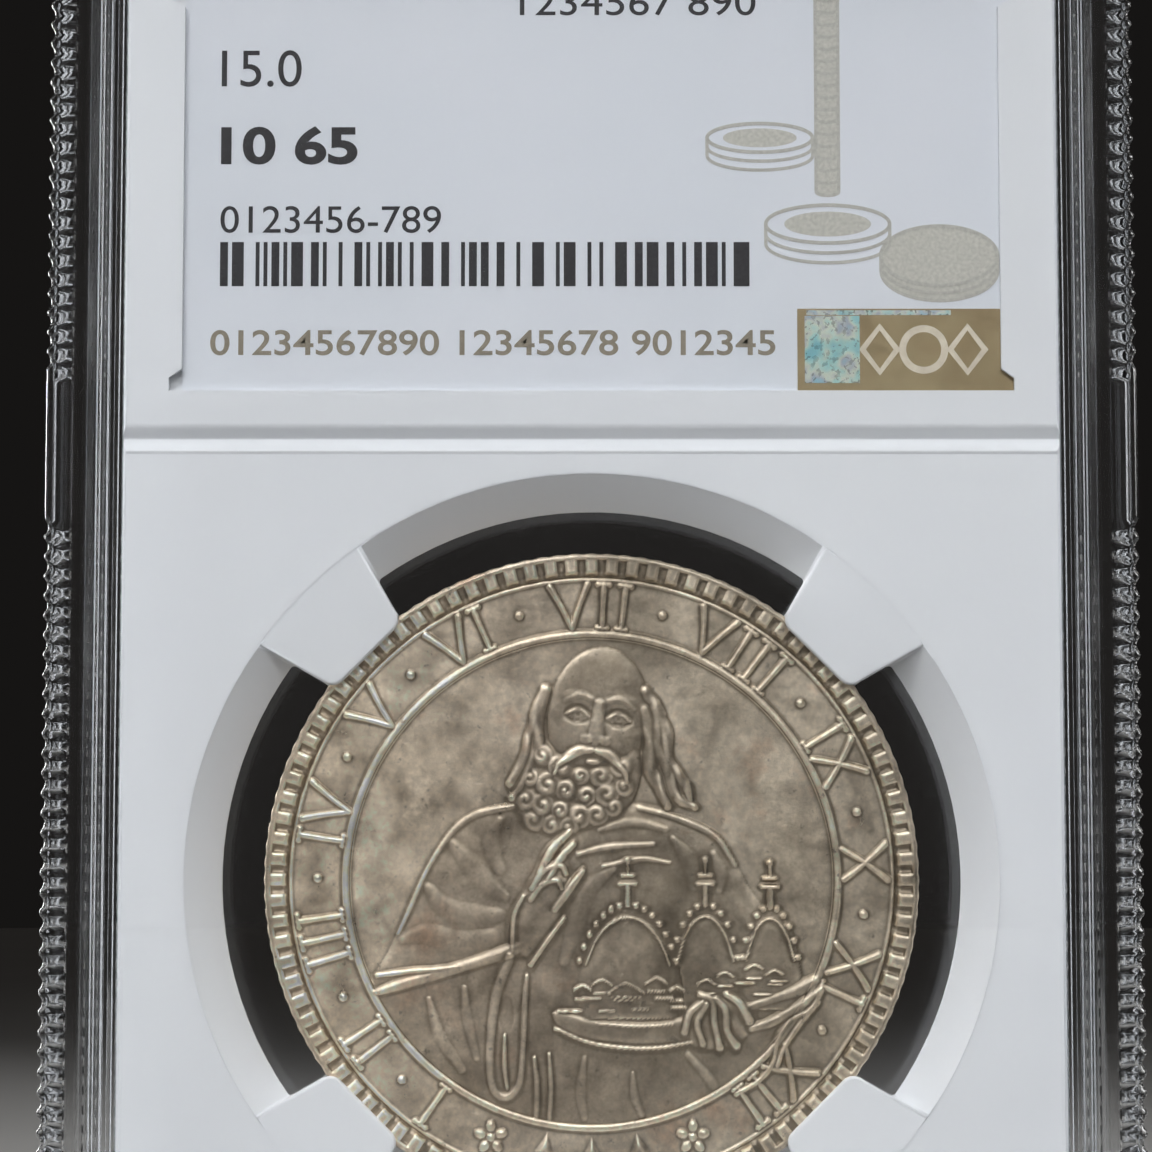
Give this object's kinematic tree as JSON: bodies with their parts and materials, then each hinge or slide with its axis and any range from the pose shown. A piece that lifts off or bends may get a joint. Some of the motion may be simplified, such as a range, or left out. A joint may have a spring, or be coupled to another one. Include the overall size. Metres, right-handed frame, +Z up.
{
  "type": "graded coin slab",
  "caption": "Sealed clear coin holder: a white insert grips a crown-size silver coin in four prongs under a printed label, inside two welded shells with ridged grips.",
  "frame": {"origin": "middle of the slab's bottom edge, on the surface that it stands on", "axes": "+Z up along the slab's height; +X to the right as the coin's face and the front label are seen; +Y from the front face to the rear face, along the coin's axis"},
  "size_m": [0.059, 0.0082, 0.084],
  "materials": {
    "clear_shell": "polished",
    "white_insert": "satin",
    "coin_silver": "satin",
    "label_paper": "satin",
    "bronze_foil": "satin",
    "hologram": "gloss"
  },
  "bodies": {
    "holder": {"front_shell": "clear_shell", "rear_shell": "clear_shell", "coin_insert": "white_insert", "front_label": "label_paper", "security_foil": "bronze_foil", "hologram_square": "hologram", "rear_label": "label_paper", "rear_hologram": "hologram"},
    "coin": {"coin": "coin_silver"}
  },
  "joints": [
    {"name": "coin_turn", "type": "hinge", "parent": "holder", "child": "coin", "pos_m": [0, 0, 0.02885], "axis": [0, 1, 0], "continuous": true}
  ]
}
